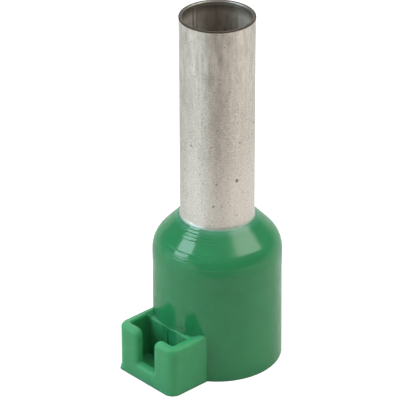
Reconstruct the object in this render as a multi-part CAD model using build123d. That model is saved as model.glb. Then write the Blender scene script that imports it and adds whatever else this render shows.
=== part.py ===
from build123d import *
import math
import os

# An insulated wire ferrule: a tinned metal sleeve in a moulded collar with a tag holder at its foot.
# Millimetres. The tube's axis is Z, the collar stands on Z = 0, and the tag holder faces -Y.

# Whole object
overall_length = 20.0
collar_height = 8.52

# Metal sleeve
tube_bore = 3.58
tube_wall = 0.2
mouth_length = 2.0
mouth_spread = 0.015
lip_length = 0.25
lip_spread = 0.02
swell = 0.05
swell_rise = 0.12
grip_length = 1.07
grip_taper = 0.02
funnel_angle = 45.0
funnel_reach = 0.75
funnel_bend = 0.3

# Collar
wire_bore = 6.3
collar_wall = 0.37
draft_angle = 0.4
cone_rise = 1.55
shoulder_round = 1.55
step_drop = 1.64
step_rise = 0.8
step_proud = 0.022
crevice_width = 0.03
crevice_depth = 0.08
inner_round = 0.4
foot_lead_in = 0.12

# Tag holder, moulded in one with the collar
pocket_width = 3.36
pocket_depth = 1.285
pocket_floor = 0.4
pocket_corner = 0.12
holder_side_wall = 0.5
holder_front_wall = 0.52
holder_height = 2.88
holder_corner = 0.55
holder_edge = 0.26
pocket_edge = 0.12
ledge_drop = 0.16
ledge_stand_off = 0.005
ledge_slope = 0.35
ledge_overlap = 0.17
ledge_edge = 0.1
fit_margin = 0.001
mould_line_place = -0.12
mould_line_width = 0.08
mould_line_depth = 0.04
slot_width = 1.31
slot_sill = 0.88
slot_arm_round = 0.36
slot_foot_round = 0.12
flash_radius = 0.32
flash_shrink = 0.12
flash_height = 0.45

# Sizes that follow from those above
tube_radius = tube_bore / 2 + tube_wall
grip_radius = tube_radius + swell
funnel_start = collar_height - grip_length
flare = math.radians(funnel_angle)
bore_radius = wire_bore / 2
foot_radius = bore_radius + collar_wall
draft_slope = math.tan(math.radians(draft_angle))
shoulder_height = collar_height - cone_rise
step_height = shoulder_height - step_drop
pocket_back = foot_radius + ledge_stand_off
pocket_front = pocket_back + pocket_depth
holder_reach = pocket_front + holder_front_wall
holder_width = pocket_width + 2 * holder_side_wall


def wall_radius(height):
    """The outside of the collar's drafted wall at this height."""
    return foot_radius - height * draft_slope


def grip_outside(height):
    """The outside of the tube where the collar grips it: a slight taper that widens downwards."""
    return grip_radius + grip_taper * (collar_height - height) / grip_length


def outline(*corners):
    """The face inside corners of distance from the axis, height and rounding, in the XZ plane."""
    points = [(across, 0, height) for across, height, rounding in corners]
    roundings = [rounding for across, height, rounding in corners]
    return make_face(FilletPolyline(*points, radius=roundings, close=True))


def turned(*corners):
    """The solid that such an outline makes when it is turned about the tube's axis."""
    return revolve(outline(*corners), Axis.Z)


def block(width, front, back, bottom, top):
    """A box centred on X = 0, from front to back (both measured out from the axis towards -Y)."""
    body = Box(width, front - back, top - bottom, align=(Align.CENTER, Align.MAX, Align.MIN))
    return Pos(0, -back, bottom) * body


def metal_sleeve():
    """One tube of even wall: turned-out rim, straight barrel, swell at the collar and inner funnel."""
    mouth_radius = tube_radius + mouth_spread
    rim_radius = mouth_radius + lip_spread
    swell_top = collar_height + swell_rise
    throat_radius = grip_outside(funnel_start)
    funnel_radius = throat_radius + funnel_reach
    funnel_end = funnel_start - funnel_reach / math.tan(flare)
    inner_turn = tube_wall * math.tan(flare / 2)
    return turned(
        (funnel_radius, funnel_end, 0),
        (throat_radius, funnel_start, funnel_bend),
        (grip_radius, collar_height, 0),
        (tube_radius, swell_top, 0),
        (tube_radius, overall_length - mouth_length, 0),
        (mouth_radius, overall_length - lip_length, 0),
        (rim_radius, overall_length, 0),
        (rim_radius - tube_wall, overall_length, 0),
        (mouth_radius - tube_wall, overall_length - lip_length, 0),
        (tube_radius - tube_wall, overall_length - mouth_length, 0),
        (tube_radius - tube_wall, swell_top, 0),
        (grip_radius - tube_wall, collar_height, 0),
        (throat_radius - tube_wall, funnel_start - inner_turn, funnel_bend + tube_wall),
        (funnel_radius - tube_wall * math.cos(flare), funnel_end - tube_wall * math.sin(flare), 0),
    )


def collar_outside():
    """The round collar as a full solid: drafted wall, fine mould step, rounded shoulder and cone."""
    step_top = step_height + step_rise
    shoulder_radius = wall_radius(shoulder_height) + step_proud
    cone_slope = (collar_height - shoulder_height) / (shoulder_radius - grip_radius)
    lip_radius = grip_radius + crevice_width
    lip_height = collar_height - crevice_width * cone_slope
    return turned(
        (0, 0, 0),
        (foot_radius, 0, 0),
        (wall_radius(step_height), step_height, 0),
        (wall_radius(step_top) + step_proud, step_top, 0),
        (shoulder_radius, shoulder_height, shoulder_round),
        (lip_radius, lip_height, 0),
        (0, lip_height, 0),
    )


def collar_inside():
    """The space inside the collar: lead-in, wire bore, funnel seat, throat and the crevice at its lip."""
    lip_radius = grip_radius + crevice_width
    throat_radius = grip_outside(funnel_start)
    seat_foot = funnel_start - (bore_radius - throat_radius) / math.tan(flare)
    throat_top = collar_height - 2 * crevice_depth
    above = collar_height + crevice_depth
    return turned(
        (0, -foot_lead_in, 0),
        (bore_radius + 2 * foot_lead_in, -foot_lead_in, 0),
        (bore_radius, foot_lead_in, 0),
        (bore_radius, seat_foot, inner_round),
        (throat_radius, funnel_start, funnel_bend),
        (grip_outside(throat_top), throat_top, 0),
        (lip_radius, collar_height - crevice_depth, 0),
        (lip_radius, above, 0),
        (0, above, 0),
    )


def slot():
    """The cut through the holder's front wall, rounded at its foot and at the tops of both arms."""
    half = slot_width / 2
    wide = half + 2 * slot_arm_round
    above = holder_height + holder_front_wall
    shape = outline(
        (-wide, above, 0),
        (-wide, holder_height, 0),
        (-half, holder_height, slot_arm_round),
        (-half, slot_sill, slot_foot_round),
        (half, slot_sill, slot_foot_round),
        (half, holder_height, slot_arm_round),
        (wide, holder_height, 0),
        (wide, above, 0),
    )
    return Pos(0, -holder_reach, 0) * extrude(shape, amount=2 * holder_front_wall, both=True)


def mould_line():
    """The fine upright groove that a joint in the mould leaves on the pocket's back wall."""
    top = holder_height - ledge_drop - ledge_edge
    groove = block(mould_line_width, pocket_back, pocket_back - mould_line_depth, pocket_floor, top)
    return Pos(mould_line_place, 0, 0) * groove


def ledge():
    """The space above the low ledge at the pocket's back; its ends slope up to the side walls' tops."""
    reach = pocket_width / 2 + ledge_overlap
    top = holder_height + ledge_drop
    bottom = holder_height - ledge_drop
    shape = outline(
        (-reach - ledge_slope, top, 0),
        (-reach + ledge_slope, bottom, 0),
        (reach - ledge_slope, bottom, 0),
        (reach + ledge_slope, top, 0),
    )
    return extrude(shape, amount=pocket_back + pocket_edge, dir=(0, -1, 0))


def outside_edges(holder):
    """The edges that are rounded most: round the outside of the top, and down and across the slot."""
    top = holder.edges().group_by(Axis.Z)[-1]
    sides = top.group_by(Axis.X)[0] + top.group_by(Axis.X)[-1]
    corners = top.filter_by(GeomType.CIRCLE).group_by(SortBy.RADIUS)[-1]
    arms = top.group_by(Axis.Y)[0]
    reach = slot_width / 2 + slot_arm_round
    front = holder.edges().group_by(Axis.Y)[0].filter_by_position(Axis.X, -reach, reach)
    mouth = front.filter_by_position(Axis.Z, pocket_floor, holder_height)
    return sides + corners + arms + mouth


def inside_edges(holder, lowest, highest):
    """The edges between two heights that lie on the pocket's own walls."""
    half = pocket_width / 2 + fit_margin
    level = holder.edges().filter_by_position(Axis.Z, lowest - fit_margin, highest + fit_margin)
    inside = level.filter_by_position(Axis.X, -half, half)
    return inside.filter_by_position(Axis.Y, -pocket_front - fit_margin, -pocket_back + fit_margin)


def tag_holder():
    """The open-topped box that takes a marker tag, as far as the tube's axis."""
    holder = block(holder_width, holder_reach, 0, 0, holder_height)
    holder = fillet(holder.edges().filter_by(Axis.Z).group_by(Axis.Y)[0], holder_corner)
    pocket = block(pocket_width, pocket_front, pocket_back, pocket_floor, holder_height)
    pocket = fillet(pocket.edges().filter_by(Axis.Z), pocket_corner)
    holder = fillet(outside_edges(holder - pocket - slot()), holder_edge)
    holder = fillet(inside_edges(holder, holder_height, holder_height), pocket_edge) - ledge()
    ledge_level = holder_height - ledge_drop
    return fillet(inside_edges(holder, ledge_level, ledge_level).filter_by(Axis.X), ledge_edge)


def corner_flash():
    """The thin spur of plastic at the foot of the holder's front left corner."""
    place = Pos(-holder_width / 2 + flash_radius, -holder_reach + flash_radius, 0)
    upright = (Align.CENTER, Align.CENTER, Align.MIN)
    return place * Cone(flash_radius, flash_radius - flash_shrink, flash_height, align=upright)


def collar():
    """The whole moulding: round collar and tag holder in one, hollow for the wire and the sleeve."""
    return collar_outside() + tag_holder() + corner_flash() - mould_line() - collar_inside()


os.makedirs("parts", exist_ok=True)
export_step(metal_sleeve(), "parts/metal_sleeve.step")
export_step(collar(), "parts/collar.step")
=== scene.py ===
# %% [markdown]
# # A wire ferrule with a tag holder
# The object is small: a tinned tube 11.5 mm long stands out of a green moulded collar, and a little open
# box at the collar's foot takes a marker tag. The two pieces come in as a finished frame, in metres. This
# lesson adds what the frame can't carry: the light, the finishes, and the fine marks that the two ways of
# making, drawing a tube and moulding plastic, leave behind.

# %% Load the frame and keep its box
import math
import bpy
from mathutils import Matrix, Vector


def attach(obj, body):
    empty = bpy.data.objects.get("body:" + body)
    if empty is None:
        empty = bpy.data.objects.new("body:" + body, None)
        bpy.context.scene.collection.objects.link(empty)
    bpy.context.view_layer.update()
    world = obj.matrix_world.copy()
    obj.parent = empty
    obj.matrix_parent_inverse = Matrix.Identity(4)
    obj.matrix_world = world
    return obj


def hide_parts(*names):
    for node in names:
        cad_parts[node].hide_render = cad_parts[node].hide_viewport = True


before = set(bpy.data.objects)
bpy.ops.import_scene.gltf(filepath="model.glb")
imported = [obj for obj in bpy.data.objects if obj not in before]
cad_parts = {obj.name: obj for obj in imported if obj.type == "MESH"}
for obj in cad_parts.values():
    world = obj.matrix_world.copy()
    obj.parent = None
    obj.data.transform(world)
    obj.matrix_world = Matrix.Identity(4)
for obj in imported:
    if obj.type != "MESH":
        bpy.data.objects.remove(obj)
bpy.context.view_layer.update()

MM = 0.001
print("nodes:", sorted(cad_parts))

# %% [markdown]
# ## The camera
# The photograph was taken with a long lens, from 28.5 degrees above the table. A camera was fitted to the
# tube's rim, the collar's outline and the box's edges. The object isn't quite in the middle of the picture,
# so the camera turns by a fraction of a degree. Turning is better here than shifting the lens, because
# other views then keep the object centred.

# %% Place the camera
PICTURE_PIXELS = 400
FOCAL_PIXELS = 2949.0
SENSOR_MM = 36.0
CAMERA_AZIMUTH = 46.925
CAMERA_ELEVATION = 28.5
CAMERA_DISTANCE = 156.811 * MM
CAMERA_SEES = (10 * MM, 20.0)
CAMERA_TARGET = Vector((0, 0, 10 * MM))
TARGET_PIXEL = (217.272, 187.058)


def towards(azimuth, elevation):
    """The unit vector away from the object: azimuth 0 is -Y, 90 is +X, and elevation is above the table."""
    a, e = math.radians(azimuth), math.radians(elevation)
    return Vector((math.sin(a) * math.cos(e), -math.cos(a) * math.cos(e), math.sin(e)))


def facing_matrix(right, back, place):
    """The matrix of an object at place whose X axis is right and whose Z axis is back."""
    axes = Matrix((right, back.cross(right), back)).transposed()
    return Matrix.Translation(place) @ axes.to_4x4()


def make_camera():
    """The camera that sees what the photograph shows."""
    back = towards(CAMERA_AZIMUTH, CAMERA_ELEVATION)
    right = Vector((0, 0, 1)).cross(back).normalized()
    up = back.cross(right)
    across, down = [(PICTURE_PIXELS / 2 - pixel) / FOCAL_PIXELS for pixel in TARGET_PIXEL]
    turn = (-back).rotation_difference(right * across - up * down - back).to_matrix()
    lens = bpy.data.cameras.new("camera")
    lens.sensor_width = SENSOR_MM
    lens.lens = FOCAL_PIXELS * SENSOR_MM / PICTURE_PIXELS
    lens.clip_start, lens.clip_end = CAMERA_SEES
    camera = bpy.data.objects.new("camera", lens)
    camera.matrix_world = facing_matrix(turn @ right, turn @ back, CAMERA_TARGET + back * CAMERA_DISTANCE)
    bpy.context.scene.collection.objects.link(camera)
    bpy.context.scene.camera = camera
    return camera


camera = make_camera()
print("lens %.1f mm, camera at %s" % (camera.data.lens, [round(x, 4) for x in camera.location]))

# %% [markdown]
# ## Colours and nodes
# Colours are written as the hex values that a painter or a web page would use. Blender's shaders want
# linear light, so one function does that sum. Another adds a node, sets its values and joins it up. It
# serves the materials and the geometry alike, and keeps both short enough to read. A third lays colours
# over one another, as a finish is built up on the real thing: first the ground, then what tints, dirties or
# marks it.

# %% Helpers for materials and for geometry
def linear(hex_colour):
    """A hex colour such as 2A8556 as four linear values."""
    parts = [int(hex_colour[i:i + 2], 16) / 255 for i in (0, 2, 4)]
    return [p / 12.92 if p <= 0.04045 else ((p + 0.055) / 1.055) ** 2.4 for p in parts] + [1.0]


def pick(sockets, name):
    """The socket at a number, or the one in use that has a name."""
    if isinstance(name, int):
        return sockets[name]
    return next(socket for socket in sockets if socket.name == name and socket.enabled)


def add_node(tree, kind, settings=None, inputs=None):
    """Adds a node, sets its own settings, then its inputs: a value, an output socket or a list of sockets."""
    node = tree.nodes.new(kind)
    for name, value in (settings or {}).items():
        setattr(node, name, value)
    for name, value in (inputs or {}).items():
        several = isinstance(value, list) and isinstance(value[0], bpy.types.NodeSocket)
        for one in value if several else [value]:
            if isinstance(one, bpy.types.NodeSocket):
                tree.links.new(one, pick(node.inputs, name))
            else:
                pick(node.inputs, name).default_value = one
    return node


def level_stops(ramp, levels):
    """Gives a colour ramp its stops: places from 0 to 1 and a grey level for each."""
    for place, level in levels[len(ramp.elements):]:
        ramp.elements.new(place)
    for stop, (place, level) in zip(ramp.elements, levels):
        stop.position = place
        stop.color = (level, level, level, 1)


def layered(tree, colour, layers):
    """Lays colours over a colour: each layer has its share, a hex colour and MIX, or MULTIPLY for a tint."""
    for share, hex_colour, way in layers:
        mix = add_node(tree, "ShaderNodeMix", {"data_type": "RGBA", "blend_type": way}, {
            "Factor": share, "A": colour, "B": linear(hex_colour)})
        colour = pick(mix.outputs, "Result")
    return colour


def new_material(name):
    """An empty node material and its tree."""
    material = bpy.data.materials.new(name)
    material.use_nodes = True
    material.node_tree.nodes.clear()
    return material, material.node_tree


print("mid grey 808080 is %.3f in linear light" % linear("808080")[0])

# %% [markdown]
# ## The table
# The photograph's ground is pure white. The table's own colour is pale, and the rest of the white comes
# from a glow that only the camera sees, so the object's soft shadow stays and no extra light falls on the
# object. The object mirrors the table without that glow. Both edges of the tube and of the collar mirror
# the part behind the object, where the real table lay in some shade, so it is darker there.

# %% Make the table
TABLE_RADIUS = 3.0
TABLE_SIDES = 96
CARD_COLOUR = "D4CCBA"
GLOWING_CARD_COLOUR = "A4A4A4"
GLOW = 0.80
MIRRORED_CARD_COLOUR = "DCDBD8"
SHADED_CARD_COLOUR = "BEBDBA"
SHADED_AZIMUTH = CAMERA_AZIMUTH - 160
SHADE_REACH = (0.1, 0.8)


def stage_mesh(name, corners, material):
    """One flat face of the studio, which isn't part of the object."""
    mesh = bpy.data.meshes.new(name)
    mesh.from_pydata(corners, [], [list(range(len(corners)))])
    mesh.materials.append(material)
    thing = bpy.data.objects.new(name, mesh)
    bpy.context.scene.collection.objects.link(thing)
    return thing


def white_card():
    """Matt white card that glows a little for the camera. In mirror images it lies in shade at the back."""
    material, tree = new_material("white_card")
    path = add_node(tree, "ShaderNodeLightPath")
    seen = add_node(tree, "ShaderNodeMath", {"operation": "MAXIMUM"},
                    {0: path.outputs["Is Camera Ray"], 1: path.outputs["Is Transmission Ray"]})
    place = add_node(tree, "ShaderNodeTexCoord").outputs["Object"]
    away = add_node(tree, "ShaderNodeVectorMath", {"operation": "NORMALIZE"}, {0: place}).outputs[0]
    behind = add_node(tree, "ShaderNodeVectorMath", {"operation": "DOT_PRODUCT"},
                      {0: away, 1: towards(SHADED_AZIMUTH, 0)}).outputs["Value"]
    shaded = add_node(tree, "ShaderNodeMapRange", {"interpolation_type": "SMOOTHSTEP"}, {
        "Value": behind, "From Min": SHADE_REACH[0], "From Max": SHADE_REACH[1]}).outputs[0]
    mirrored = add_node(tree, "ShaderNodeMix", {"data_type": "RGBA"}, {
        "Factor": shaded, "A": linear(MIRRORED_CARD_COLOUR), "B": linear(SHADED_CARD_COLOUR)})
    colour = add_node(tree, "ShaderNodeMix", {"data_type": "RGBA"}, {
        "Factor": path.outputs["Is Glossy Ray"], "A": linear(CARD_COLOUR),
        "B": pick(mirrored.outputs, "Result")})
    card = add_node(tree, "ShaderNodeBsdfDiffuse", inputs={"Color": pick(colour.outputs, "Result")})
    dim_card = add_node(tree, "ShaderNodeBsdfDiffuse", inputs={"Color": linear(GLOWING_CARD_COLOUR)})
    glow = add_node(tree, "ShaderNodeEmission", inputs={"Strength": GLOW})
    lit_card = add_node(tree, "ShaderNodeAddShader", inputs={0: dim_card.outputs[0], 1: glow.outputs[0]})
    mix = add_node(tree, "ShaderNodeMixShader",
                   inputs={0: seen.outputs[0], 1: card.outputs[0], 2: lit_card.outputs[0]})
    add_node(tree, "ShaderNodeOutputMaterial", inputs={"Surface": mix.outputs[0]})
    return material


turns = [2 * math.pi * i / TABLE_SIDES for i in range(TABLE_SIDES)]
rim = [(TABLE_RADIUS * math.cos(t), TABLE_RADIUS * math.sin(t), 0) for t in turns]
stage_mesh("table", rim, white_card())
print("table radius %.1f m" % TABLE_RADIUS)

# %% [markdown]
# ## The light
# The sloped shoulder of the collar mirrors the studio, and where each mirror image begins and ends on the
# cone says where a softbox stood. A tall cool one is on the left, with a wide dim one below it. A wide,
# slightly warm one is on the right, and a weaker one that reaches a little further softens its edge. One
# high up brightens what faces upwards, and one behind the object brightens both edges of the tube and of
# the collar. Each box is given by the directions of its two lower corners and by how far it rises above
# them. The dark band down the middle of the tube is the mirror image of something dark in front of the
# object, below the lens, so a grey card lies there, just outside the picture. The rest is a plain room.

# %% The softboxes, a grey card and the room
BOX_DISTANCE = 2.5
# Name, lower left and right corners (degrees from the camera and up), rise in degrees, radiance and colour.
SOFTBOXES = [("cool_softbox", (-88, 17.5), (-62, 20.5), 37, 6.3, "E1F6FF"),
             ("cool_fill", (-105, 2), (-35, 2), 16, 1.15, "CDEEFF"),
             ("top_softbox", (30, 66), (95, 66), 18, 2.6, "FFFFFF"),
             ("warm_softbox", (49, 43), (97, 27), 26, 3.0, "FFFCF6"),
             ("warm_softbox_edge", (42, 44), (97, 27), 27, 1.5, "FFFCF6"),
             ("back_softbox", (145, 14), (-145, 14), 26, 2.2, "FFFFFF")]
GREY_CARD_COLOUR = "6A665E"
GREY_CARD_NEAR = 6.3 * MM
GREY_CARD_FAR = 120.0 * MM
GREY_CARD_FADE = (18 * MM, 34 * MM)
GREY_CARD_FULL = 0.2
GREY_CARD_GONE = 1.2
GREY_CARD_LIFT = 0.05 * MM
ROOM_LEVELS = [(0.0, 0.70), (0.07, 0.62), (0.14, 0.20), (0.45, 0.20), (0.75, 0.46), (1.0, 0.50)]


def softbox(name, lower_left, lower_right, rise, radiance, colour):
    """An area light between two lower corners, each an azimuth from the camera and an elevation."""
    left, right = [towards(CAMERA_AZIMUTH + corner[0], corner[1]) for corner in (lower_left, lower_right)]
    along = (right - left).normalized()
    foot = (left + right).normalized()
    rising = Vector((0, 0, 1)) - along * along.z
    rising = (rising - foot * rising.dot(foot)).normalized()
    half_rise = math.radians(rise) / 2
    centre = foot * math.cos(half_rise) + rising * math.sin(half_rise)
    light = bpy.data.lights.new(name, "AREA")
    light.shape = "RECTANGLE"
    light.size = 2 * BOX_DISTANCE * math.tan(left.angle(right) / 2)
    light.size_y = 2 * BOX_DISTANCE * math.tan(half_rise)
    light.color = linear(colour)[:3]
    light.energy = radiance * math.pi * light.size * light.size_y
    box = bpy.data.objects.new(name, light)
    box.matrix_world = facing_matrix(along, centre, CAMERA_TARGET + centre * BOX_DISTANCE)
    box.visible_camera = False
    bpy.context.scene.collection.objects.link(box)
    up = math.degrees(math.asin(centre.z))
    print("%s: %.2f x %.2f m, %.0f degrees up" % (name, light.size, light.size_y, up))


def grey_card():
    """A card in front of the object that fades out sideways: it shows in reflections alone."""
    material, tree = new_material("grey_card")
    place = add_node(tree, "ShaderNodeTexCoord").outputs["Object"]
    axes = add_node(tree, "ShaderNodeSeparateXYZ", inputs={"Vector": place}).outputs
    aside = add_node(tree, "ShaderNodeMath", {"operation": "ABSOLUTE"}, {0: axes["X"]}).outputs[0]
    slant = add_node(tree, "ShaderNodeMath", {"operation": "DIVIDE"}, {0: aside, 1: axes["Y"]}).outputs[0]
    far = add_node(tree, "ShaderNodeMapRange", inputs={
        "Value": axes["Y"], "From Min": GREY_CARD_FADE[0], "From Max": GREY_CARD_FADE[1]}).outputs[0]
    share = add_node(tree, "ShaderNodeMapRange", {"interpolation_type": "SMOOTHSTEP"}, {
        "Value": slant, "From Min": GREY_CARD_GONE, "From Max": GREY_CARD_FULL, "To Max": far}).outputs[0]
    clear = add_node(tree, "ShaderNodeBsdfTransparent")
    card = add_node(tree, "ShaderNodeBsdfDiffuse", inputs={"Color": linear(GREY_CARD_COLOUR)})
    mix = add_node(tree, "ShaderNodeMixShader", inputs={0: share, 1: clear.outputs[0], 2: card.outputs[0]})
    add_node(tree, "ShaderNodeOutputMaterial", inputs={"Surface": mix.outputs[0]})
    near_half, far_half = GREY_CARD_NEAR * GREY_CARD_GONE, GREY_CARD_FAR * GREY_CARD_GONE
    card = stage_mesh("grey_card", [(near_half, GREY_CARD_NEAR, 0), (far_half, GREY_CARD_FAR, 0),
                                    (-far_half, GREY_CARD_FAR, 0), (-near_half, GREY_CARD_NEAR, 0)], material)
    ahead = towards(CAMERA_AZIMUTH, 0)
    card.location.z = GREY_CARD_LIFT
    card.rotation_euler.z = math.atan2(-ahead.x, ahead.y)
    card.visible_camera = False
    card.visible_shadow = False
    return card


def make_room():
    """The room round the table, as light that depends on the height above the horizon alone."""
    world = bpy.data.worlds.new("studio")
    bpy.context.scene.world = world
    world.use_nodes = True
    tree = world.node_tree
    tree.nodes.clear()
    direction = add_node(tree, "ShaderNodeTexCoord")
    height = add_node(tree, "ShaderNodeSeparateXYZ", inputs={"Vector": direction.outputs["Generated"]})
    ramp = add_node(tree, "ShaderNodeValToRGB", inputs={"Fac": height.outputs["Z"]})
    level_stops(ramp.color_ramp, ROOM_LEVELS)
    sky = add_node(tree, "ShaderNodeBackground", inputs={"Color": ramp.outputs["Color"], "Strength": 1.0})
    add_node(tree, "ShaderNodeOutputWorld", inputs={"Surface": sky.outputs[0]})


for box in SOFTBOXES:
    softbox(*box)
grey_card()
make_room()
bpy.context.scene.view_settings.view_transform = "Standard"

# %% [markdown]
# ## The sleeve's section
# The frame's sleeve has the right size, but the real one shows what its making did to it: the sheared rim
# rolls over, tiny pits dot the plate, and a line runs down the inside. Those are shapes, so the sleeve is
# made again with a finer surface. It begins as its section: corners of radius and height with the rounding
# that each one takes, and the length of a step along the run that follows. Steps are short where the
# surface shows. The burr at the cut end stands 0.05 mm above the nominal length, as it does in the
# photograph, and a small chamfer takes off the rim's inner edge.

# %% Points round the sleeve's section
SHOWN_STEP = 0.05
HIDDEN_STEP = 0.3
FINE_STEP = 0.02
BEND_POINTS = 6
OUTER_CORNERS = [(2.81, 6.70, 0.0, HIDDEN_STEP), (2.06, 7.45, 0.3, HIDDEN_STEP),
                 (2.04, 8.52, 0.05, FINE_STEP), (1.99, 8.64, 0.14, SHOWN_STEP),
                 (1.99, 18.0, 0.0, SHOWN_STEP), (2.005, 19.82, 0.1, FINE_STEP)]
CUT_CORNERS = [(2.02, 20.05, 0.045, FINE_STEP), (1.88, 20.05, 0.02, FINE_STEP),
               (1.83, 19.99, 0.02, FINE_STEP)]
INNER_CORNERS = [(1.805, 19.82, 0.1, SHOWN_STEP), (1.79, 18.0, 0.0, HIDDEN_STEP),
                 (1.79, 8.64, 0.0, HIDDEN_STEP), (1.84, 8.52, 0.0, HIDDEN_STEP),
                 (1.86, 7.367, 0.5, HIDDEN_STEP), (2.669, 6.559, 0.0, HIDDEN_STEP)]


def corner_points(before, here, after):
    """The corner itself, or points along its rounding."""
    rounding = here[2]
    if not rounding:
        return [Vector(here[:2])]
    spot = Vector(here[:2])
    back, ahead = [(Vector(other[:2]) - spot).normalized() for other in (before, after)]
    reach = rounding / math.tan(back.angle(ahead) / 2)
    first, last = spot + back * reach, spot + ahead * reach
    shares = [i / (BEND_POINTS - 1) for i in range(BEND_POINTS)]
    return [first * (1 - s) ** 2 + spot * 2 * s * (1 - s) + last * s ** 2 for s in shares]


def section_points():
    """All points round the section, each with the wall that it lies on: 0 outer, 1 cut face, 2 inner."""
    corners = [(corner, wall) for wall, run in enumerate((OUTER_CORNERS, CUT_CORNERS, INNER_CORNERS))
               for corner in run]
    rounded = []
    for i, (corner, wall) in enumerate(corners):
        points = corner_points(corners[i - 1][0], corner, corners[(i + 1) % len(corners)][0])
        rounded.append((points, wall, corner[3]))
    shown = []
    for i, (points, wall, step) in enumerate(rounded):
        shown += [(point, wall) for point in points]
        here, there = points[-1], rounded[(i + 1) % len(rounded)][0][0]
        count = max(1, math.ceil((there - here).length / step))
        shown += [(here.lerp(there, n / count), wall) for n in range(1, count)]
    return shown + shown[:1]


section = section_points()
print("%d points round the section" % len(section))

# %% [markdown]
# ## Pits and the tube
# The plate is dotted with pits: a few can be placed one by one from the photograph, and the many fine ones
# are scattered with a fixed seed. The section and the placed pits go into one small mesh of loose points. A
# node tree turns the section about the axis: point number r of the section, repeated for every column,
# gives the tube's surface. It then sinks each point of the outer wall by its distance to the nearest pit,
# and raises a narrow band down the inside with a fine groove on each side, where the strip that the tube
# was rolled from meets. The seam lies on one of the 256 columns, so that both grooves come out alike. Four
# attributes tell the material which wall a point lies on, and where the pits, the torn half of the cut face
# and the grooves are.

# %% The base mesh: section points and placed pits
TUBE_RADIUS_MM = 1.99
PLACED_PITS = [(78.1, 11.30, 0.14), (41.1, 9.89, 0.1), (83.4, 13.50, 0.085), (45.7, 11.21, 0.08),
               (3.3, 13.24, 0.09), (-8.1, 15.55, 0.065), (38.1, 13.39, 0.06), (47.3, 14.40, 0.06),
               (82.8, 18.31, 0.055), (118.9, 14.2, 0.09)]
TORN_REACH_MM = 1.88


def sleeve_base():
    """Loose points in metres: the section in the XZ plane, then the placed pits on the tube."""
    pits = [(towards(azimuth, 0) * TUBE_RADIUS_MM + Vector((0, 0, height)), size)
            for azimuth, height, size in PLACED_PITS]
    points = [Vector((point.x, 0, point.y)) for point, wall in section] + [place for place, size in pits]
    mesh = bpy.data.meshes.new("sleeve_base")
    mesh.from_pydata([point * MM for point in points], [], [])
    walls = [(float(wall == 0), float(wall == 2), float(wall == 1 and point.x > TORN_REACH_MM))
             for point, wall in section]
    where = mesh.attributes.new("where", "FLOAT_VECTOR", "POINT")
    where.data.foreach_set("vector", [x for wall in walls for x in wall] + [0.0] * (3 * len(pits)))
    sizes = mesh.attributes.new("pit_size", "FLOAT", "POINT")
    sizes.data.foreach_set("value", [0.0] * len(section) + [size * MM for place, size in pits])
    return mesh


base = sleeve_base()
print("%d section points and %d pits" % (len(section), len(PLACED_PITS)))

# %% The node tree of the sleeve
SLEEVE_INPUTS = [
    ("Columns", "NodeSocketInt", 256),
    ("Rows", "NodeSocketInt", len(section)),
    ("Seed", "NodeSocketInt", 7),
    ("Fine pits per square metre", "NodeSocketFloat", 0.5e6),
    ("Smallest pit", "NodeSocketFloat", 0.03 * MM),
    ("Largest pit", "NodeSocketFloat", 0.06 * MM),
    ("Pit depth by radius", "NodeSocketFloat", 0.5),
    ("Seam azimuth", "NodeSocketFloat", -92.8125),
    ("Seam half width", "NodeSocketFloat", 0.088 * MM),
    ("Seam height", "NodeSocketFloat", 0.01 * MM),
    ("Seam groove", "NodeSocketFloat", 0.015 * MM),
    ("Metal", "NodeSocketMaterial", None)]
# Middle and end of each groove, in half widths of the seam.
GROOVE_MIDDLE = 1.5
GROOVE_END = 2.0
MERGE_REACH = 0.0005 * MM


def node_group(name, inputs):
    """An empty geometry tree with its named inputs, and its input and output nodes."""
    tree = bpy.data.node_groups.new(name, "GeometryNodeTree")
    tree.interface.new_socket("Geometry", in_out="INPUT", socket_type="NodeSocketGeometry")
    for label, kind, value in inputs:
        tree.interface.new_socket(label, in_out="INPUT", socket_type=kind)
    tree.interface.new_socket("Geometry", in_out="OUTPUT", socket_type="NodeSocketGeometry")
    return tree, add_node(tree, "NodeGroupInput").outputs


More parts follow.
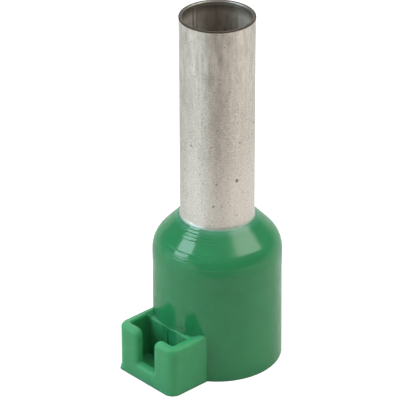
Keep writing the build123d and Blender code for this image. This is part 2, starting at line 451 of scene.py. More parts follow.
def turned_tube(tree, given, profile):
    """The section's points turned about Z: a grid whose columns are copies of the section."""
    columns = add_node(tree, "ShaderNodeMath", {"operation": "ADD"}, {0: given["Columns"], 1: 1.0}).outputs[0]
    grid = add_node(tree, "GeometryNodeMeshGrid", inputs={"Vertices X": columns, "Vertices Y": given["Rows"]})
    index = add_node(tree, "GeometryNodeInputIndex").outputs[0]
    share = add_node(tree, "ShaderNodeMath", {"operation": "DIVIDE"}, {0: index, 1: given["Rows"]}).outputs[0]
    column = add_node(tree, "ShaderNodeMath", {"operation": "FLOOR"}, {0: share}).outputs[0]
    row = add_node(tree, "ShaderNodeMath", {"operation": "MODULO"}, {0: index, 1: given["Rows"]}).outputs[0]
    part = add_node(tree, "ShaderNodeMath", {"operation": "DIVIDE"},
                    {0: column, 1: given["Columns"]}).outputs[0]
    angle = add_node(tree, "ShaderNodeMath", {"operation": "MULTIPLY"}, {0: part, 1: 2 * math.pi}).outputs[0]
    position = add_node(tree, "GeometryNodeInputPosition").outputs[0]
    flat = add_node(tree, "GeometryNodeSampleIndex", {"data_type": "FLOAT_VECTOR"},
                    {"Geometry": profile, "Value": position, "Index": row}).outputs[0]
    place = add_node(tree, "ShaderNodeVectorRotate", {"rotation_type": "Z_AXIS"},
                     {"Vector": flat, "Angle": angle}).outputs[0]
    where = add_node(tree, "GeometryNodeInputNamedAttribute", {"data_type": "FLOAT_VECTOR"},
                     {"Name": "where"})
    wall = add_node(tree, "GeometryNodeSampleIndex", {"data_type": "FLOAT_VECTOR"},
                    {"Geometry": profile, "Value": where.outputs["Attribute"], "Index": row}).outputs[0]
    marked = add_node(tree, "GeometryNodeStoreNamedAttribute", {"data_type": "FLOAT_VECTOR"},
                      {"Geometry": grid.outputs["Mesh"], "Name": "where", "Value": wall}).outputs[0]
    return add_node(tree, "GeometryNodeSetPosition", inputs={
        "Geometry": marked, "Position": place}).outputs[0]


def all_pits(tree, given, tube, placed, outside):
    """The placed pits and the scattered fine ones, as points that know their radius."""
    scatter = add_node(tree, "GeometryNodeDistributePointsOnFaces", {"distribute_method": "RANDOM"}, {
        "Mesh": tube, "Selection": outside, "Density": given["Fine pits per square metre"],
        "Seed": given["Seed"]}).outputs["Points"]
    size = add_node(tree, "FunctionNodeRandomValue", {"data_type": "FLOAT"}, {
        "Min": given["Smallest pit"], "Max": given["Largest pit"], "Seed": given["Seed"]})
    sized = add_node(tree, "GeometryNodeStoreNamedAttribute", {"data_type": "FLOAT"}, {
        "Geometry": scatter, "Name": "pit_size", "Value": pick(size.outputs, "Value")}).outputs[0]
    known = add_node(tree, "GeometryNodeMeshToPoints", inputs={"Mesh": placed}).outputs[0]
    return add_node(tree, "GeometryNodeJoinGeometry", inputs={"Geometry": [sized, known]}).outputs[0]


def pit_marks(tree, given, pits, size, outside):
    """How far into the nearest pit a point of the outer wall lies, from 0 to 1, and how deep it sinks."""
    position = add_node(tree, "GeometryNodeInputPosition").outputs[0]
    nearest = add_node(tree, "GeometryNodeSampleNearest", inputs={"Geometry": pits}).outputs[0]
    centre = add_node(tree, "GeometryNodeSampleIndex", {"data_type": "FLOAT_VECTOR"},
                      {"Geometry": pits, "Value": position, "Index": nearest}).outputs[0]
    radius = add_node(tree, "GeometryNodeSampleIndex", {"data_type": "FLOAT"},
                      {"Geometry": pits, "Value": size, "Index": nearest}).outputs[0]
    away = add_node(tree, "ShaderNodeVectorMath", {"operation": "DISTANCE"}, {0: position, 1: centre})
    in_pit = add_node(tree, "ShaderNodeMapRange", {"interpolation_type": "SMOOTHSTEP"}, {
        "Value": away.outputs["Value"], "From Min": radius, "From Max": 0.0,
        "To Min": 0.0, "To Max": outside}).outputs[0]
    sink = add_node(tree, "ShaderNodeMath", {"operation": "MULTIPLY"}, {0: in_pit, 1: radius}).outputs[0]
    sink = add_node(tree, "ShaderNodeMath", {"operation": "MULTIPLY"},
                    {0: sink, 1: given["Pit depth by radius"]}).outputs[0]
    return in_pit, sink


def seam_marks(tree, given, inside):
    """Where the seam's two grooves lie, from 0 to 1, and how far a point of the inner wall rises from it."""
    position = add_node(tree, "GeometryNodeInputPosition").outputs[0]
    azimuth = add_node(tree, "ShaderNodeMath", {"operation": "RADIANS"},
                       {0: given["Seam azimuth"]}).outputs[0]
    beside = add_node(tree, "ShaderNodeVectorRotate", {"rotation_type": "Z_AXIS"},
                      {"Vector": (1.0, 0.0, 0.0), "Angle": azimuth}).outputs[0]
    beyond = add_node(tree, "ShaderNodeVectorRotate", {"rotation_type": "Z_AXIS"},
                      {"Vector": (0.0, -1.0, 0.0), "Angle": azimuth}).outputs[0]
    across = add_node(tree, "ShaderNodeVectorMath", {"operation": "DOT_PRODUCT"}, {0: position, 1: beside})
    across = add_node(tree, "ShaderNodeMath", {"operation": "ABSOLUTE"},
                      {0: across.outputs["Value"]}).outputs[0]
    side = add_node(tree, "ShaderNodeVectorMath", {"operation": "DOT_PRODUCT"}, {0: position, 1: beyond})
    side = add_node(tree, "ShaderNodeMath", {"operation": "SIGN"}, {0: side.outputs["Value"]}).outputs[0]
    near_seam = add_node(tree, "ShaderNodeMath", {"operation": "MULTIPLY", "use_clamp": True},
                         {0: side, 1: inside}).outputs[0]
    middle, end = [add_node(tree, "ShaderNodeMath", {"operation": "MULTIPLY"},
                            {0: given["Seam half width"], 1: share}).outputs[0]
                   for share in (GROOVE_MIDDLE, GROOVE_END)]
    band, whole = [add_node(tree, "ShaderNodeMapRange", {"interpolation_type": "SMOOTHSTEP"}, {
        "Value": across, "From Min": outer, "From Max": inner,
        "To Min": 0.0, "To Max": near_seam}).outputs[0]
                   for outer, inner in ((middle, given["Seam half width"]), (end, middle))]
    groove = add_node(tree, "ShaderNodeMath", {"operation": "SUBTRACT", "use_clamp": True},
                      {0: whole, 1: band}).outputs[0]
    raised = add_node(tree, "ShaderNodeMath", {"operation": "MULTIPLY"}, {0: band, 1: given["Seam height"]})
    cut = add_node(tree, "ShaderNodeMath", {"operation": "MULTIPLY"}, {0: groove, 1: given["Seam groove"]})
    rise = add_node(tree, "ShaderNodeMath", {"operation": "SUBTRACT"},
                    {0: raised.outputs[0], 1: cut.outputs[0]}).outputs[0]
    return groove, rise


def sleeve_tree():
    """The whole sleeve: turned, pitted, seamed, closed and smooth."""
    tree, given = node_group("sleeve", SLEEVE_INPUTS)
    size = add_node(tree, "GeometryNodeInputNamedAttribute", {"data_type": "FLOAT"},
                    {"Name": "pit_size"}).outputs["Attribute"]
    is_pit = add_node(tree, "FunctionNodeCompare", {"data_type": "FLOAT", "operation": "GREATER_THAN"},
                      {"A": size, "B": 0.0}).outputs[0]
    parts = add_node(tree, "GeometryNodeSeparateGeometry", {"domain": "POINT"},
                     {"Geometry": given["Geometry"], "Selection": is_pit}).outputs
    tube = turned_tube(tree, given, parts["Inverted"])
    where = add_node(tree, "GeometryNodeInputNamedAttribute", {"data_type": "FLOAT_VECTOR"},
                     {"Name": "where"})
    wall = add_node(tree, "ShaderNodeSeparateXYZ", inputs={"Vector": where.outputs["Attribute"]}).outputs
    pits = all_pits(tree, given, tube, parts["Selection"], wall["X"])
    in_pit, sink = pit_marks(tree, given, pits, size, wall["X"])
    groove, rise = seam_marks(tree, given, wall["Y"])

    inward = add_node(tree, "ShaderNodeMath", {"operation": "ADD"}, {0: sink, 1: rise}).outputs[0]
    inward = add_node(tree, "ShaderNodeMath", {"operation": "MULTIPLY"}, {0: inward, 1: -1.0}).outputs[0]
    position = add_node(tree, "GeometryNodeInputPosition").outputs[0]
    outward = add_node(tree, "ShaderNodeVectorMath", {"operation": "MULTIPLY"},
                       {0: position, 1: (1.0, 1.0, 0.0)})
    outward = add_node(tree, "ShaderNodeVectorMath", {"operation": "NORMALIZE"}, {0: outward.outputs[0]})
    offset = add_node(tree, "ShaderNodeVectorMath", {"operation": "SCALE"},
                      {"Vector": outward.outputs[0], "Scale": inward}).outputs[0]
    shape = tube
    for name, value in (("pit", in_pit), ("seam", groove), ("torn", wall["Z"])):
        shape = add_node(tree, "GeometryNodeStoreNamedAttribute", {"data_type": "FLOAT"},
                         {"Geometry": shape, "Name": name, "Value": value}).outputs[0]
    shape = add_node(tree, "GeometryNodeSetPosition", inputs={"Geometry": shape, "Offset": offset}).outputs[0]
    shape = add_node(tree, "GeometryNodeMergeByDistance", inputs={
        "Geometry": shape, "Distance": MERGE_REACH}).outputs[0]
    shape = add_node(tree, "GeometryNodeSetShadeSmooth", inputs={
        "Geometry": shape, "Shade Smooth": True}).outputs[0]
    shape = add_node(tree, "GeometryNodeRealizeInstances", inputs={"Geometry": shape}).outputs[0]
    shape = add_node(tree, "GeometryNodeSetMaterial", inputs={"Geometry": shape, "Material": given["Metal"]})
    add_node(tree, "NodeGroupOutput", inputs={"Geometry": shape.outputs[0]})
    return tree


def grow(name, mesh, tree, inputs):
    """Runs a tree on a mesh and keeps the plain mesh that comes out, as an object at the origin."""
    thing = bpy.data.objects.new(name, mesh)
    bpy.context.scene.collection.objects.link(thing)
    modifier = thing.modifiers.new(name, "NODES")
    modifier.node_group = tree
    sockets = {item.name: item.identifier for item in tree.interface.items_tree if item.in_out == "INPUT"}
    for label, kind, value in inputs:
        modifier[sockets[label]] = value
    graph = bpy.context.evaluated_depsgraph_get()
    grown = bpy.data.meshes.new_from_object(thing.evaluated_get(graph), preserve_all_data_layers=True,
                                            depsgraph=graph)
    thing.modifiers.clear()
    thing.data = grown
    return thing


print("inputs of the sleeve's tree:", [label for label, kind, value in SLEEVE_INPUTS])

# %% [markdown]
# ## Tinned copper
# Hot tin leaves copper matt and slightly mottled: patches a few tenths of a millimetre wide, drawn out
# along the tube, differ a little in tone, and drawing lines run up it. The real lines and grain are finer
# than the picture can show, so both are drawn coarser. Specks and grit of oxide dot the tin, less near the
# mouth. On one side it is thin, and a warm tint of the copper comes through. Low down the tin is painted
# lighter, painted light that brightens its mirror image of the table there. The pits and the torn half of
# the cut face swallow the light, so both are brown, the grooves beside the seam inside are painted dark as
# shade, and the clean half of the cut is grey. The collar's lip throws a pale light on the foot of the tube.
# Inside, the metal is rougher and browner, painted shade darkens it further just under the rim's burr, and
# the far inside wall that the camera sees is darkened by painted shade.

# %% The tin's tone and its dots
TIN_PATCH_MM = 0.3
TIN_PATCH_STRETCH = 0.3
DRAW_LINE_MM = 0.09
DRAW_LINE_STRETCH = 0.03
DRAW_LINE_SHARE = 0.3
TIN_GRAIN_MM = 0.06
BARE_CELLS = 0.5


def tin_tone(tree, place, gritty):
    """The upright patches alone, and the whole tone with its drawing lines and grain."""
    run = add_node(tree, "ShaderNodeMapping", inputs={"Vector": place, "Scale": (1, 1, TIN_PATCH_STRETCH)})
    patch = add_node(tree, "ShaderNodeTexNoise", inputs={
        "Vector": run.outputs[0], "Scale": 1 / (TIN_PATCH_MM * MM),
        "Detail": 3.0, "Roughness": 0.62}).outputs[0]
    along = add_node(tree, "ShaderNodeMapping", inputs={"Vector": place, "Scale": (1, 1, DRAW_LINE_STRETCH)})
    lines = add_node(tree, "ShaderNodeTexNoise", inputs={
        "Vector": along.outputs[0], "Scale": 1 / (DRAW_LINE_MM * MM), "Detail": 2.0}).outputs[0]
    grain = add_node(tree, "ShaderNodeTexNoise", inputs={
        "Vector": place, "Scale": 1 / (TIN_GRAIN_MM * MM), "Detail": 2.0}).outputs[0]
    tone = patch
    for share, other in ((DRAW_LINE_SHARE, lines), (gritty, grain)):
        mix = add_node(tree, "ShaderNodeMix", {"data_type": "FLOAT"},
                       {"Factor": share, "A": tone, "B": other})
        tone = pick(mix.outputs, "Result")
    return patch, tone


def dots(tree, place, spacing, largest, strength):
    """Soft round dots in some cells of a pattern, from nothing up to the largest share of the spacing."""
    cells = add_node(tree, "ShaderNodeTexVoronoi", inputs={"Vector": place, "Scale": 1 / (spacing * MM)})
    chance = add_node(tree, "ShaderNodeSeparateColor", inputs={"Color": cells.outputs["Color"]}).outputs[0]
    size = add_node(tree, "ShaderNodeMapRange", inputs={
        "Value": chance, "From Min": BARE_CELLS, "From Max": 1.0,
        "To Min": 0.0, "To Max": largest}).outputs[0]
    return add_node(tree, "ShaderNodeMapRange", {"interpolation_type": "SMOOTHSTEP"}, {
        "Value": cells.outputs["Distance"], "From Min": size, "From Max": 0.0,
        "To Min": 0.0, "To Max": strength}).outputs[0]


print("tin: patches %.2f mm wide, grain %.2f mm" % (TIN_PATCH_MM, TIN_GRAIN_MM))

# %% The sleeve's metal
TIN_LIGHT = "ECE7E1"
TIN_DARK = "C1BBB2"
TONE_SPREAD = (0.38, 0.62)
TIN_ROUGHNESS = (0.40, 0.52)
ROUGHNESS_SPREAD = (0.35, 0.65)
TIN_RELIEF = 0.004 * MM
GRITTY = (0.28, 0.68)
GRITTY_Z = (18.5 * MM, 14.5 * MM)
SPECK_SPACING_MM = 0.28
LARGEST_SPECK = 0.25
GRIT_SPACING_MM = 0.13
LARGEST_GRIT = 0.4
# Painted light: a lighter tin low down on the tube.
PAINTED_LIGHT_LOW_DOWN = 0.35
PAINTED_LIGHT_LOW_DOWN_Z = (14.0 * MM, 9.5 * MM)
THIN_TIN = "FBEEE8"
THIN_TIN_AZIMUTH = CAMERA_AZIMUTH + 24
THIN_TIN_REACH = (0.6, 1.0)
THIN_TIN_SHARE = 0.6
# Brown of the pits, the oxide specks and grit, and painted shade in the seam's grooves.
PIT_SPECK_AND_GROOVE_SHADE_BROWN = "4C463E"
CUT_GREY = "8C8880"
TORN_BROWN = "443B33"
FOOT_LIGHT = "C4D2C6"
FOOT_Z = (8.62 * MM, 8.56 * MM)
# Browner inside, and painted shade towards the rim, under the burr.
INSIDE_BROWN_AND_BURR_SHADE = "7A7062"
INSIDE_BROWN_AND_BURR_SHADE_SHARE = (0.20, 1.0)
BURR_SHADE_Z = (19.4 * MM, 19.9 * MM)
INSIDE_ROUGHNESS = 0.74
# Painted shade on the far inside wall, the one that faces the camera.
INSIDE_SHADE = "D0CAC3"
INSIDE_SHADE_AZIMUTH = CAMERA_AZIMUTH + 176
INSIDE_SHADE_REACH = (0.75, 1.0)


def on_one_side(tree, outward, azimuth, reach, most):
    """From 0 to most towards an azimuth. Reach says where it begins and is full, as cosines off it."""
    facing = add_node(tree, "ShaderNodeVectorMath", {"operation": "DOT_PRODUCT"},
                      {0: outward, 1: towards(azimuth, 0)}).outputs["Value"]
    return add_node(tree, "ShaderNodeMapRange", {"interpolation_type": "SMOOTHSTEP"}, {
        "Value": facing, "From Min": reach[0], "From Max": reach[1],
        "To Min": 0.0, "To Max": most}).outputs[0]


def tinned_copper():
    """Matt tin plate: mottled, with fine draw lines and dark specks, and brown where torn or pitted."""
    material, tree = new_material("tinned_copper")
    place = add_node(tree, "ShaderNodeTexCoord").outputs["Object"]
    height = add_node(tree, "ShaderNodeSeparateXYZ", inputs={"Vector": place}).outputs["Z"]
    flat = add_node(tree, "ShaderNodeVectorMath", {"operation": "MULTIPLY"}, {0: place, 1: (1.0, 1.0, 0.0)})
    outward = add_node(tree, "ShaderNodeVectorMath", {"operation": "NORMALIZE"},
                       {0: flat.outputs[0]}).outputs[0]
    gritty = add_node(tree, "ShaderNodeMapRange", inputs={
        "Value": height, "From Min": GRITTY_Z[0], "From Max": GRITTY_Z[1],
        "To Min": GRITTY[0], "To Max": GRITTY[1]}).outputs[0]
    patch, tone = tin_tone(tree, place, gritty)
    spread = add_node(tree, "ShaderNodeMapRange", {"clamp": False}, {
        "Value": tone, "From Min": TONE_SPREAD[0], "From Max": TONE_SPREAD[1]}).outputs[0]
    # Painted light: the tin is made lighter low down, brightening its mirror image of the table there.
    low_down = add_node(tree, "ShaderNodeMapRange", {"interpolation_type": "SMOOTHSTEP"}, {
        "Value": height, "From Min": PAINTED_LIGHT_LOW_DOWN_Z[0], "From Max": PAINTED_LIGHT_LOW_DOWN_Z[1], "To Max": PAINTED_LIGHT_LOW_DOWN}).outputs[0]
    spread = add_node(tree, "ShaderNodeMath", {"operation": "ADD", "use_clamp": True},
                      {0: spread, 1: low_down}).outputs[0]
    colour = add_node(tree, "ShaderNodeMix", {"data_type": "RGBA"}, {
        "Factor": spread, "A": linear(TIN_DARK), "B": linear(TIN_LIGHT)})

    where = add_node(tree, "ShaderNodeAttribute", {"attribute_name": "where"}).outputs["Vector"]
    walls = add_node(tree, "ShaderNodeSeparateXYZ", inputs={"Vector": where}).outputs
    inside = walls["Y"]
    either = add_node(tree, "ShaderNodeMath", {"operation": "ADD"}, {0: walls["X"], 1: inside}).outputs[0]
    cut = add_node(tree, "ShaderNodeMath", {"operation": "SUBTRACT", "use_clamp": True},
                   {0: 1.0, 1: either}).outputs[0]
    dark, seam, torn = [add_node(tree, "ShaderNodeAttribute", {"attribute_name": name}).outputs["Fac"]
                        for name in ("pit", "seam", "torn")]
    specks = dots(tree, place, SPECK_SPACING_MM, LARGEST_SPECK, gritty)
    grit = dots(tree, place, GRIT_SPACING_MM, LARGEST_GRIT, gritty)
    # Pits, oxide specks and grit, and painted shade in the seam's grooves.
    for mark in (specks, seam, grit):
        dark = add_node(tree, "ShaderNodeMath", {"operation": "MAXIMUM"}, {0: dark, 1: mark}).outputs[0]
    thin = on_one_side(tree, outward, THIN_TIN_AZIMUTH, THIN_TIN_REACH, THIN_TIN_SHARE)
    # Painted shade: the far inside wall, facing the camera, is darker.
    inside_shade = on_one_side(tree, outward, INSIDE_SHADE_AZIMUTH, INSIDE_SHADE_REACH, inside)
    foot = add_node(tree, "ShaderNodeMapRange", {"interpolation_type": "SMOOTHSTEP"}, {
        "Value": height, "From Min": FOOT_Z[0], "From Max": FOOT_Z[1]}).outputs[0]
    # Inside: browner throughout, and painted shade near the rim, under the burr.
    browner_and_burr_shade = add_node(tree, "ShaderNodeMapRange", inputs={
        "Value": height, "From Min": BURR_SHADE_Z[0], "From Max": BURR_SHADE_Z[1],
        "To Min": INSIDE_BROWN_AND_BURR_SHADE_SHARE[0], "To Max": INSIDE_BROWN_AND_BURR_SHADE_SHARE[1]}).outputs[0]
    browner_and_burr_shade = add_node(tree, "ShaderNodeMath", {"operation": "MULTIPLY"}, {0: inside, 1: browner_and_burr_shade}).outputs[0]
    colour = layered(tree, pick(colour.outputs, "Result"), [
        (thin, THIN_TIN, "MULTIPLY"), (dark, PIT_SPECK_AND_GROOVE_SHADE_BROWN, "MIX"), (cut, CUT_GREY, "MIX"),
        (torn, TORN_BROWN, "MIX"), (foot, FOOT_LIGHT, "MIX"), (browner_and_burr_shade, INSIDE_BROWN_AND_BURR_SHADE, "MIX"),
        (inside_shade, INSIDE_SHADE, "MULTIPLY")])

    rough = add_node(tree, "ShaderNodeMapRange", inputs={
        "Value": patch, "From Min": ROUGHNESS_SPREAD[0], "From Max": ROUGHNESS_SPREAD[1],
        "To Min": TIN_ROUGHNESS[0], "To Max": TIN_ROUGHNESS[1]}).outputs[0]
    rough = add_node(tree, "ShaderNodeMix", {"data_type": "FLOAT"},
                     {"Factor": inside, "A": rough, "B": INSIDE_ROUGHNESS})
    relief = add_node(tree, "ShaderNodeBump", inputs={
        "Height": tone, "Strength": 1.0, "Distance": TIN_RELIEF}).outputs[0]
    metal = add_node(tree, "ShaderNodeBsdfPrincipled", inputs={
        "Base Color": colour, "Metallic": 1.0, "Roughness": pick(rough.outputs, "Result"), "Normal": relief})
    add_node(tree, "ShaderNodeOutputMaterial", inputs={"Surface": metal.outputs[0]})
    return material


tin = tinned_copper()
sleeve_values = [(label, kind, tin if label == "Metal" else value) for label, kind, value in SLEEVE_INPUTS]
sleeve = grow("sleeve", base, sleeve_tree(), sleeve_values)
print("sleeve: %d vertices, %d faces" % (len(sleeve.data.vertices), len(sleeve.data.polygons)))
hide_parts("metal_sleeve")
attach(sleeve, "root")

# %% [markdown]
# ## Moulded plastic
# The collar's shape is already right, so its piece stays and only takes its finish. It is polypropylene or
# polyamide, dyed green right through: a little light goes in and comes out again nearby, which softens the
# shadows and keeps them green. On one side the mould was polished where it made the cone and the wall, so
# they mirror the studio sharply, and on the other it was brushed, so the images are softer. It was left
# duller where it made the holder, and painted light makes the holder's green lighter. Fine turning marks
# from the mould ring the cone, deepest on the polished side, and the two lowest run all round. A painted
# highlight lightens the cone's lip, the ledge in the pocket is ragged at one place, and the mould line on
# the pocket's back wall is painted dark as shade.

# %% The plastic's colour
GREEN = "2F8F5C"
GREEN_DEEP = "278352"
# Painted light: the holder is the same plastic, painted a lighter green.
HOLDER_PAINTED_LIGHT_GREEN = "3F9E6B"
HOLDER_PAINTED_LIGHT_GREEN_DEEP = "33905E"
GREEN_PATCH_MM = 0.8
# Painted highlight: a lighter green at the cone's lip.
PAINTED_LIP_HIGHLIGHT = "4E9C74"
PAINTED_LIP_HIGHLIGHT_Z = (8.15 * MM, 8.5 * MM)
# Painted shade along the mould line's groove.
MOULD_LINE_SHADE_GREEN = "175C38"
MOULD_LINE_PLACE_MM = (-0.12, -3.53, 1.5)
MOULD_LINE_REACH_MM = (0.09, 0.15, 1.6)
MOULD_LINE_FADE = (1.0, 0.5)


def plastic_colour(tree, place, height, holder):
    """Slightly uneven green; painted light on the holder and the cone's lip, painted shade in the mould line.
    """
    patch = add_node(tree, "ShaderNodeTexNoise", inputs={
        "Vector": place, "Scale": 1 / (GREEN_PATCH_MM * MM), "Detail": 3.0, "Roughness": 0.6}).outputs[0]
    # The holder's two greens are lighter: painted light.
    greens = [add_node(tree, "ShaderNodeMix", {"data_type": "RGBA"}, {
        "Factor": patch, "A": linear(deep), "B": linear(light)})
              for deep, light in ((GREEN_DEEP, GREEN), (HOLDER_PAINTED_LIGHT_GREEN_DEEP, HOLDER_PAINTED_LIGHT_GREEN))]
    wall, box = [pick(green.outputs, "Result") for green in greens]
    colour = add_node(tree, "ShaderNodeMix", {"data_type": "RGBA"}, {"Factor": holder, "A": wall, "B": box})
    # Painted highlight at the cone's lip.
    lip = add_node(tree, "ShaderNodeMapRange", {"interpolation_type": "SMOOTHSTEP"}, {
        "Value": height, "From Min": PAINTED_LIP_HIGHLIGHT_Z[0], "From Max": PAINTED_LIP_HIGHLIGHT_Z[1]}).outputs[0]
    # Painted shade along the mould line on the pocket's back wall.
    off_line = add_node(tree, "ShaderNodeMapping", {"vector_type": "TEXTURE"}, {
        "Vector": place, "Location": Vector(MOULD_LINE_PLACE_MM) * MM,
        "Scale": Vector(MOULD_LINE_REACH_MM) * MM})
    off_line = add_node(tree, "ShaderNodeVectorMath", {"operation": "LENGTH"}, {0: off_line.outputs[0]})
    on_line = add_node(tree, "ShaderNodeMapRange", {"interpolation_type": "SMOOTHSTEP"}, {
        "Value": off_line.outputs["Value"], "From Min": MOULD_LINE_FADE[0], "From Max": MOULD_LINE_FADE[1]})
    return layered(tree, pick(colour.outputs, "Result"), [
        (lip, PAINTED_LIP_HIGHLIGHT, "MIX"), (on_line.outputs[0], MOULD_LINE_SHADE_GREEN, "MIX")])


print("greens:", GREEN, "on the wall and", HOLDER_PAINTED_LIGHT_GREEN, "on the holder")

# %% The plastic's relief
SKIN_GRAIN_MM = 0.12
SKIN_DEPTH = 0.0012 * MM
LEDGE_PLACE_MM = (0.95, -3.45, 2.72)
RAGGED_REACH = (0.35 * MM, 0.8 * MM)
RAGGED_GRAIN_MM = 0.16
RAGGED_DEPTH = 0.05 * MM
TOOL_MARKS_MM = (6.3, 8.5)
TOOL_MARK_HALF_MM = 0.026
TOOL_MARKS = [(6.38, 0.7), (6.64, 0.6), (7.05, 0.6), (7.18, 0.5), (7.41, 1.0), (7.96, 0.5), (8.10, 0.8),
              (8.24, 0.8), (8.38, 0.9)]
TOOL_MARK_DEPTH = 0.014 * MM
SHALLOW_MARKS = 0.15
ALL_ROUND_Z = (6.85 * MM, 6.75 * MM)


def tool_mark_levels():
    """The cone's surface level from the shoulder up: 1, and lower in each turning mark."""
    low, high = TOOL_MARKS_MM
    levels = [(0.0, 1.0)]
    for height, depth in TOOL_MARKS:
        levels += [((height + step - low) / (high - low), 1.0 - (0.0 if step else depth))
                   for step in (-TOOL_MARK_HALF_MM, 0.0, TOOL_MARK_HALF_MM)]
    return levels + [(1.0, 1.0)]


def plastic_relief(tree, place, height, polished):
    """Fine skin all over, lumps on the ledge, and turning marks, shallow where it isn't polished."""
    grain = add_node(tree, "ShaderNodeTexNoise", inputs={
        "Vector": place, "Scale": 1 / (SKIN_GRAIN_MM * MM), "Detail": 2.0}).outputs[0]
    skin = add_node(tree, "ShaderNodeBump", inputs={
        "Height": grain, "Strength": 1.0, "Distance": SKIN_DEPTH}).outputs[0]
    on_ledge = add_node(tree, "ShaderNodeVectorMath", {"operation": "DISTANCE"}, {
        0: place, 1: Vector(LEDGE_PLACE_MM) * MM}).outputs["Value"]
    on_ledge = add_node(tree, "ShaderNodeMapRange", {"interpolation_type": "SMOOTHSTEP"}, {
        "Value": on_ledge, "From Min": RAGGED_REACH[1], "From Max": RAGGED_REACH[0]}).outputs[0]
    lumps = add_node(tree, "ShaderNodeTexNoise", inputs={
        "Vector": place, "Scale": 1 / (RAGGED_GRAIN_MM * MM), "Detail": 1.0}).outputs[0]
    skin = add_node(tree, "ShaderNodeBump", inputs={
        "Height": lumps, "Strength": on_ledge, "Distance": RAGGED_DEPTH, "Normal": skin}).outputs[0]
    along = add_node(tree, "ShaderNodeMapRange", inputs={
        "Value": height, "From Min": TOOL_MARKS_MM[0] * MM, "From Max": TOOL_MARKS_MM[1] * MM}).outputs[0]
    marks = add_node(tree, "ShaderNodeValToRGB", inputs={"Fac": along})
    level_stops(marks.color_ramp, tool_mark_levels())
    deep = add_node(tree, "ShaderNodeMapRange", inputs={
        "Value": polished, "To Min": SHALLOW_MARKS, "To Max": 1.0}).outputs[0]
    all_round = add_node(tree, "ShaderNodeMapRange", inputs={
        "Value": height, "From Min": ALL_ROUND_Z[0], "From Max": ALL_ROUND_Z[1]}).outputs[0]
    deep = add_node(tree, "ShaderNodeMath", {"operation": "MAXIMUM"}, {0: deep, 1: all_round}).outputs[0]
    return add_node(tree, "ShaderNodeBump", inputs={
        "Height": marks.outputs["Color"], "Strength": deep, "Distance": TOOL_MARK_DEPTH,
        "Normal": skin}).outputs[0]


print("turning marks at", [height for height, depth in TOOL_MARKS], "mm")

# %% The collar's plastic
PLASTIC_IOR = 1.49
POLISHED_AZIMUTH = CAMERA_AZIMUTH - 32
POLISHED_REACH = (0.75, 0.95)
POLISHED_ROUGHNESS = 0.12
BRUSHED_ROUGHNESS = 0.21
DULL_ROUGHNESS = 0.46
HOLDER_RADIUS = (3.53 * MM, 3.62 * MM)
LIGHT_SHARE = 0.8
LIGHT_REACH = (0.45, 1.0, 0.55)


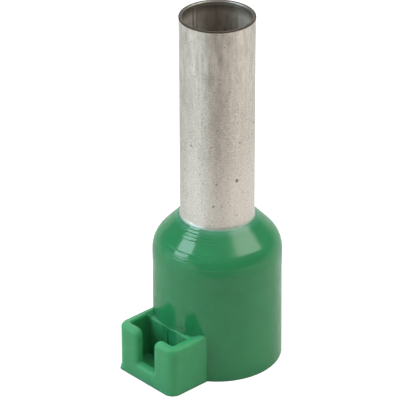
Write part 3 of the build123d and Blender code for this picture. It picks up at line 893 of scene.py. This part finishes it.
def green_plastic():
    """Dyed semi-gloss plastic: soft below the surface, polished above, duller on the holder, with painted
    light.
    """
    material, tree = new_material("moulded_green_plastic")
    place = add_node(tree, "ShaderNodeTexCoord").outputs["Object"]
    height = add_node(tree, "ShaderNodeSeparateXYZ", inputs={"Vector": place}).outputs["Z"]
    flat = add_node(tree, "ShaderNodeVectorMath", {"operation": "MULTIPLY"}, {0: place, 1: (1.0, 1.0, 0.0)})
    radius = add_node(tree, "ShaderNodeVectorMath", {"operation": "LENGTH"}, {0: flat.outputs[0]})
    holder = add_node(tree, "ShaderNodeMapRange", {"interpolation_type": "SMOOTHSTEP"}, {
        "Value": radius.outputs["Value"], "From Min": HOLDER_RADIUS[0],
        "From Max": HOLDER_RADIUS[1]}).outputs[0]
    outward = add_node(tree, "ShaderNodeVectorMath", {"operation": "NORMALIZE"},
                       {0: flat.outputs[0]}).outputs[0]
    polished = on_one_side(tree, outward, POLISHED_AZIMUTH, POLISHED_REACH, 1.0)
    rough = add_node(tree, "ShaderNodeMapRange", inputs={
        "Value": polished, "To Min": BRUSHED_ROUGHNESS, "To Max": POLISHED_ROUGHNESS}).outputs[0]
    rough = add_node(tree, "ShaderNodeMapRange", inputs={
        "Value": holder, "To Min": rough, "To Max": DULL_ROUGHNESS}).outputs[0]
    plastic = add_node(tree, "ShaderNodeBsdfPrincipled", inputs={
        "Base Color": plastic_colour(tree, place, height, holder), "Roughness": rough, "IOR": PLASTIC_IOR,
        "Subsurface Weight": LIGHT_SHARE, "Subsurface Radius": LIGHT_REACH, "Subsurface Scale": MM,
        "Normal": plastic_relief(tree, place, height, polished)})
    add_node(tree, "ShaderNodeOutputMaterial", inputs={"Surface": plastic.outputs[0]})
    return material


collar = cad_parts["collar"]
collar.data.materials.clear()
collar.data.materials.append(green_plastic())
print("collar: %d faces" % len(collar.data.polygons))

# %% [markdown]
# ## The collar's seam
# The frame's round faces begin and end on one line, at +X. The directions that tell light how the surface
# lies are worked out for each side of that line alone, so a faint edge shows there that the moulding
# doesn't have. A small node tree, kept on the piece as a modifier, points them straight outwards again
# along that line. It moves nothing.

# %% Point the surface outwards along the seam
SEAM_REACH = 0.002 * MM


def seam_tree():
    """Takes the sideways part out of the surface directions on the line Y = 0."""
    tree, given = node_group("seam", [])
    position = add_node(tree, "GeometryNodeInputPosition").outputs[0]
    beside = add_node(tree, "ShaderNodeSeparateXYZ", inputs={"Vector": position}).outputs["Y"]
    beside = add_node(tree, "ShaderNodeMath", {"operation": "ABSOLUTE"}, {0: beside}).outputs[0]
    on_seam = add_node(tree, "ShaderNodeMath", {"operation": "LESS_THAN"},
                       {0: beside, 1: SEAM_REACH}).outputs[0]
    kept = add_node(tree, "ShaderNodeMath", {"operation": "SUBTRACT"}, {0: 1.0, 1: on_seam}).outputs[0]
    scale = add_node(tree, "ShaderNodeCombineXYZ", inputs={"X": 1.0, "Y": kept, "Z": 1.0}).outputs[0]
    normal = add_node(tree, "GeometryNodeInputNormal").outputs[0]
    upright = add_node(tree, "ShaderNodeVectorMath", {"operation": "MULTIPLY"},
                       {0: normal, 1: scale}).outputs[0]
    upright = add_node(tree, "ShaderNodeVectorMath", {"operation": "NORMALIZE"}, {0: upright}).outputs[0]
    shape = add_node(tree, "GeometryNodeSetMeshNormal", {"mode": "FREE", "domain": "CORNER"},
                     {"Mesh": given["Geometry"], "Custom Normal": upright})
    add_node(tree, "NodeGroupOutput", inputs={"Geometry": shape.outputs[0]})
    return tree


collar.modifiers.new("seam", "NODES").node_group = seam_tree()
print("modifiers on the collar:", [modifier.name for modifier in collar.modifiers])
